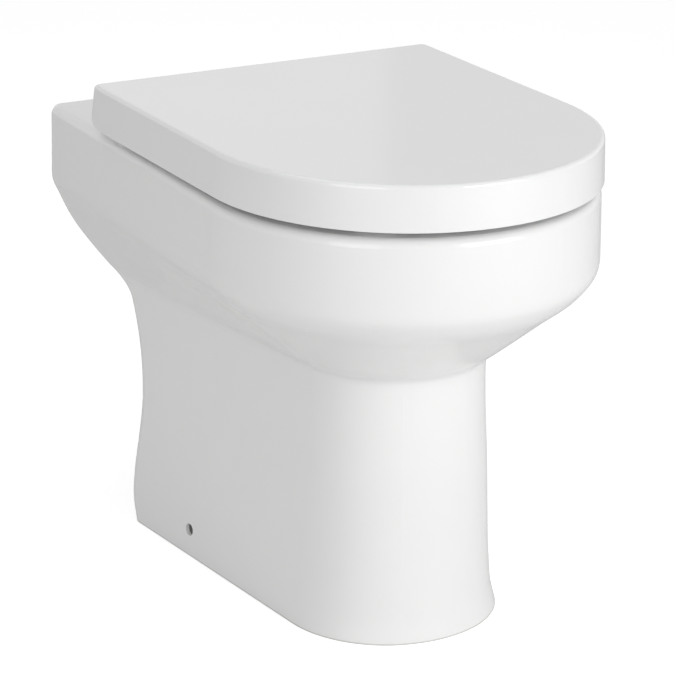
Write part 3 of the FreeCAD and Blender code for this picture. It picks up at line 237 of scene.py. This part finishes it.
# a slow change of tone over a surface, between two colours
tone_group, tone_in, tone_out = new_group(
    "tone_drift",
    inputs={"Colour": COLOUR, "Shade": COLOUR, "Scale": NUMBER, "Sharpness": NUMBER},
    outputs={"Colour": COLOUR},
)
tone_place = add_node(tone_group, "TexCoord", {})
tone_noise = add_node(
    tone_group,
    "TexNoise",
    {"Vector": tone_place.outputs["Object"], "Scale": tone_in.outputs["Scale"], "Detail": 4.0},
)
tone_power = add_node(
    tone_group, "Math", {0: tone_noise.outputs["Fac"], 1: tone_in.outputs["Sharpness"]}, operation="POWER"
)
tone_mix = add_node(
    tone_group,
    "Mix",
    {"Factor": tone_power.outputs["Value"], "A": tone_in.outputs["Colour"], "B": tone_in.outputs["Shade"]},
    data_type="RGBA",
)
tone_group.links.new(tone_mix.outputs["Result"], tone_out.inputs["Colour"])

# a fine unevenness: its height for a bump, and a roughness that varies as on a handled surface
wave_group, wave_in, wave_out = new_group(
    "surface_wave",
    inputs={"Wave": NUMBER, "Grain": NUMBER, "Grain share": NUMBER, "Smooth": NUMBER, "Rough": NUMBER},
    outputs={"Height": NUMBER, "Roughness": NUMBER},
)
wave_place = add_node(wave_group, "TexCoord", {})
wave_noise = add_node(
    wave_group,
    "TexNoise",
    {"Vector": wave_place.outputs["Object"], "Scale": wave_in.outputs["Wave"], "Detail": 1.0},
)
grain_noise = add_node(
    wave_group,
    "TexNoise",
    {"Vector": wave_place.outputs["Object"], "Scale": wave_in.outputs["Grain"], "Detail": 2.0},
)
smear_noise = add_node(
    wave_group, "TexNoise", {"Vector": wave_place.outputs["Object"], "Scale": SMEAR_SCALE, "Detail": 5.0}
)
wave_height = add_node(
    wave_group,
    "Mix",
    {
        "Factor": wave_in.outputs["Grain share"],
        "A": wave_noise.outputs["Fac"],
        "B": grain_noise.outputs["Fac"],
    },
    data_type="FLOAT",
)
smear_range = add_node(
    wave_group,
    "MapRange",
    {
        "Value": smear_noise.outputs["Fac"],
        "From Min": SMEAR_LOW,
        "From Max": SMEAR_HIGH,
        "To Min": wave_in.outputs["Smooth"],
        "To Max": wave_in.outputs["Rough"],
    },
)
wave_group.links.new(wave_height.outputs["Result"], wave_out.inputs["Height"])
wave_group.links.new(smear_range.outputs["Result"], wave_out.inputs["Roughness"])


def new_finish(
    name,
    colour,
    shade,
    tone_scale,
    tone_sharpness,
    wave_scale,
    grain_scale,
    grain_share,
    smooth,
    rough,
    bump_strength,
    bump_depth,
    metallic=0.0,
):
    """A material with a drifting tone and a fine unevenness, on its own shader.
    smooth and rough are the ends of its roughness, and bump_depth is in metres."""
    material = new_material(name)
    tree = material.node_tree
    tone = add_node(
        tree,
        "Group",
        {"Colour": (*colour, 1.0), "Shade": (*shade, 1.0), "Scale": tone_scale, "Sharpness": tone_sharpness},
        name="tone",
        node_tree=tone_group,
    )
    wave = add_node(
        tree,
        "Group",
        {
            "Wave": wave_scale,
            "Grain": grain_scale,
            "Grain share": grain_share,
            "Smooth": smooth,
            "Rough": rough,
        },
        name="wave",
        node_tree=wave_group,
    )
    bump = add_node(
        tree,
        "Bump",
        {"Strength": bump_strength, "Distance": bump_depth, "Height": wave.outputs["Height"]},
        name="bump",
    )
    shader = add_node(
        tree,
        "BsdfPrincipled",
        {
            "Base Color": tone.outputs["Colour"],
            "Metallic": metallic,
            "Roughness": wave.outputs["Roughness"],
            "Normal": bump.outputs["Normal"],
        },
        name="shader",
    )
    add_node(tree, "OutputMaterial", {"Surface": shader.outputs["BSDF"]})
    return material


glaze = new_finish(
    "white_glaze",
    colour=(0.90, 0.90, 0.895),
    shade=(0.86, 0.862, 0.858),
    tone_scale=6.0,
    tone_sharpness=1.5,
    wave_scale=14.0,
    grain_scale=700.0,
    grain_share=0.04,
    smooth=0.06,
    rough=0.11,
    bump_strength=0.10,
    bump_depth=0.0006,
)
glaze_tree = glaze.node_tree
glaze_shader = glaze_tree.nodes["shader"]
glaze_shader.inputs["IOR"].default_value = 1.52

# the glaze stops about a millimetre above the floor, on bare biscuit painted grey as the shade where the pan
# meets the floor, and 3 mm inside each side hole, where the bare wall is painted dark as the shade deep in
# the hole
FOOT_BARE = 0.0008
FOOT_GLAZED = 0.0016
FOOT_BARE_AND_SHADE = (0.62, 0.61, 0.59, 1.0)
HOLE_CENTRE = (0.0, 0.0851, 0.025)
HOLE_REACH = 0.0064
HOLE_FACE = 0.1112
HOLE_BARE_AND_SHADE = (0.20, 0.195, 0.185, 1.0)
ACROSS_HOLE = (0.0, 1.0, 1.0)
BARE_ROUGHNESS = 0.8
bare_place = add_node(glaze_tree, "TexCoord", {})
bare_axes = add_node(glaze_tree, "SeparateXYZ", {"Vector": bare_place.outputs["Object"]})
foot_share = add_node(
    glaze_tree,
    "MapRange",
    {
        "Value": bare_axes.outputs["Z"],
        "From Min": FOOT_BARE,
        "From Max": FOOT_GLAZED,
        "To Min": 1.0,
        "To Max": 0.0,
    },
)
hole_across = add_node(
    glaze_tree, "VectorMath", {0: bare_place.outputs["Object"], 1: ACROSS_HOLE}, operation="MULTIPLY"
)
hole_radius = add_node(
    glaze_tree, "VectorMath", {0: hole_across.outputs["Vector"], 1: HOLE_CENTRE}, operation="DISTANCE"
)
hole_near = add_node(
    glaze_tree, "Math", {0: hole_radius.outputs["Value"], 1: HOLE_REACH}, operation="LESS_THAN"
)
hole_side = add_node(glaze_tree, "Math", {0: bare_axes.outputs["X"]}, operation="ABSOLUTE")
hole_deep = add_node(glaze_tree, "Math", {0: hole_side.outputs["Value"], 1: HOLE_FACE}, operation="LESS_THAN")
hole_share = add_node(
    glaze_tree, "Math", {0: hole_near.outputs["Value"], 1: hole_deep.outputs["Value"]}, operation="MULTIPLY"
)
# the bare foot band is its own biscuit, painted grey as well as painted shade where the pan meets the floor
foot_bare_and_shade_colour = add_node(
    glaze_tree,
    "Mix",
    {
        "Factor": foot_share.outputs["Result"],
        "A": glaze_tree.nodes["tone"].outputs["Colour"],
        "B": FOOT_BARE_AND_SHADE,
    },
    data_type="RGBA",
)
# inside each side hole the bare wall is painted dark grey, as painted shade deep in the hole
painted_shade_colour = add_node(
    glaze_tree,
    "Mix",
    {"Factor": hole_share.outputs["Value"], "A": foot_bare_and_shade_colour.outputs["Result"], "B": HOLE_BARE_AND_SHADE},
    data_type="RGBA",
)
bare_share = add_node(
    glaze_tree, "Math", {0: foot_share.outputs["Result"], 1: hole_share.outputs["Value"]}, operation="MAXIMUM"
)
bare_rough = add_node(
    glaze_tree,
    "Mix",
    {
        "Factor": bare_share.outputs["Value"],
        "A": glaze_tree.nodes["wave"].outputs["Roughness"],
        "B": BARE_ROUGHNESS,
    },
    data_type="FLOAT",
)
glaze_tree.links.new(painted_shade_colour.outputs["Result"], glaze_shader.inputs["Base Color"])
glaze_tree.links.new(bare_rough.outputs["Result"], glaze_shader.inputs["Roughness"])
show_finish("pan", glaze)

# A black rubber seal fills the flush inlet at the wall, with a collar in a seat in the china.
# It is moulded in one piece and pushed in by hand.
seal_rubber = new_finish(
    "seal_rubber",
    colour=(0.030, 0.030, 0.031),
    shade=(0.055, 0.054, 0.052),
    tone_scale=30.0,
    tone_sharpness=1.2,
    wave_scale=60.0,
    grain_scale=1600.0,
    grain_share=0.6,
    smooth=0.55,
    rough=0.75,
    bump_strength=0.25,
    bump_depth=0.0004,
)
show_finish("flush_inlet_seal", seal_rubber)

# Two nylon brackets are screwed to the floor inside the foot, with a sleeve in each side hole.
# They are moulded in natural nylon, which is a warm translucent white.
nylon = new_finish(
    "natural_nylon",
    colour=(0.80, 0.77, 0.69),
    shade=(0.72, 0.69, 0.60),
    tone_scale=22.0,
    tone_sharpness=1.3,
    wave_scale=40.0,
    grain_scale=1200.0,
    grain_share=0.4,
    smooth=0.38,
    rough=0.52,
    bump_strength=0.18,
    bump_depth=0.0004,
)
nylon_shader = nylon.node_tree.nodes["shader"]
nylon_shader.inputs["Subsurface Weight"].default_value = 0.15
nylon_shader.inputs["Subsurface Radius"].default_value = (0.004, 0.003, 0.002)
for node_name in ("floor_bracket_left", "floor_bracket_right", "fixing_sleeves"):
    show_finish(node_name, nylon)

# A steel screw goes through each side hole into its bracket.
# Its head is turned and zinc plated, with a satin look.
plated_steel = new_finish(
    "plated_steel",
    colour=(0.62, 0.62, 0.63),
    shade=(0.50, 0.50, 0.50),
    tone_scale=60.0,
    tone_sharpness=1.4,
    wave_scale=90.0,
    grain_scale=1500.0,
    grain_share=0.5,
    smooth=0.24,
    rough=0.40,
    bump_strength=0.12,
    bump_depth=0.0003,
    metallic=1.0,
)
show_finish("side_screws", plated_steel)

# A hinge bracket stands on each side of the rear deck and reaches back to the hinge line.
# It is cast in zinc, polished and chromed.
chrome = new_finish(
    "hinge_chrome",
    colour=(0.80, 0.81, 0.82),
    shade=(0.70, 0.71, 0.72),
    tone_scale=25.0,
    tone_sharpness=1.6,
    wave_scale=45.0,
    grain_scale=1400.0,
    grain_share=0.3,
    smooth=0.05,
    rough=0.13,
    bump_strength=0.05,
    bump_depth=0.0003,
    metallic=1.0,
)
for node_name in ("hinge_bracket_left", "hinge_bracket_right"):
    show_finish(node_name, chrome)

# A steel pin is pressed through each hinge bracket, and the seat and lid turn on its ends.
# The pins are ground bar, cut to length.
for node_name in ("hinge_pin_left", "hinge_pin_right"):
    show_finish(node_name, plated_steel)

# A thin soft gasket lies between each hinge bracket and the glaze.
# Like the buffers it is moulded in soft milky rubber.
milky_rubber = new_finish(
    "milky_rubber",
    colour=(0.80, 0.80, 0.78),
    shade=(0.72, 0.72, 0.70),
    tone_scale=40.0,
    tone_sharpness=1.2,
    wave_scale=50.0,
    grain_scale=1300.0,
    grain_share=0.5,
    smooth=0.40,
    rough=0.55,
    bump_strength=0.15,
    bump_depth=0.0003,
)
milky_shader = milky_rubber.node_tree.nodes["shader"]
milky_shader.inputs["Subsurface Weight"].default_value = 0.25
milky_shader.inputs["Subsurface Radius"].default_value = (0.003, 0.003, 0.003)
show_finish("base_gaskets", milky_rubber)

# Under the deck each hinge is held by a steel stud, a rubber bush, a washer and a wing nut.
# The nut is moulded nylon, so that it can be tightened by hand against the china. The stud's
# thread is a bump with bands 1.25 mm apart.
THREAD_SCALE = 251.0
thread_steel = plated_steel.copy()
thread_steel.name = "thread_steel"
thread_tree = thread_steel.node_tree
thread_place = add_node(thread_tree, "TexCoord", {})
thread_wave = add_node(
    thread_tree,
    "TexWave",
    {"Vector": thread_place.outputs["Object"], "Scale": THREAD_SCALE},
    bands_direction="Z",
)
thread_bump = thread_tree.nodes["bump"]
thread_bump.inputs["Strength"].default_value = 0.8
thread_bump.inputs["Distance"].default_value = 0.0006
thread_tree.links.new(thread_wave.outputs["Fac"], thread_bump.inputs["Height"])
show_finish("hinge_studs", thread_steel)
show_finish("deck_bushes", seal_rubber)
show_finish("stud_washers", plated_steel)
show_finish("wing_nuts", nylon)

# The seat ring is pressed from white urea moulding powder, a hard gloss thermoset.
# Its lugs take a damper on one side and a plain bush on the other.
thermoset = new_finish(
    "white_thermoset",
    colour=(0.89, 0.89, 0.892),
    shade=(0.86, 0.86, 0.863),
    tone_scale=8.0,
    tone_sharpness=1.5,
    wave_scale=10.0,
    grain_scale=900.0,
    grain_share=0.05,
    smooth=0.08,
    rough=0.14,
    bump_strength=0.06,
    bump_depth=0.0005,
)
thermoset_shader = thermoset.node_tree.nodes["shader"]
thermoset_shader.inputs["IOR"].default_value = 1.54
thermoset_shader.inputs["Coat Weight"].default_value = 0.4
thermoset_shader.inputs["Coat Roughness"].default_value = 0.03
show_finish("seat_ring", thermoset)
show_finish("seat_buffers", milky_rubber)

# Each damper is a small acetal cup filled with stiff grease, with a cap and a vaned rotor.
# The plain bushes on the other side are turned from the same plastic.
acetal = new_finish(
    "acetal",
    colour=(0.72, 0.72, 0.71),
    shade=(0.64, 0.64, 0.63),
    tone_scale=50.0,
    tone_sharpness=1.3,
    wave_scale=80.0,
    grain_scale=1500.0,
    grain_share=0.5,
    smooth=0.30,
    rough=0.42,
    bump_strength=0.12,
    bump_depth=0.0003,
)
for node_name in ("seat_bush", "seat_damper_body", "seat_damper_cap", "seat_damper_rotor"):
    show_finish(node_name, acetal)
for node_name in ("lid_bush", "lid_damper_body", "lid_damper_cap", "lid_damper_rotor"):
    show_finish(node_name, acetal)

# The lid is a thin shell of the same thermoset, with a skirt that hides the seat ring.
# It is pressed in one piece and polished, and its buffers keep it off the seat.
show_finish("lid", thermoset)
show_finish("lid_buffers", milky_rubber)
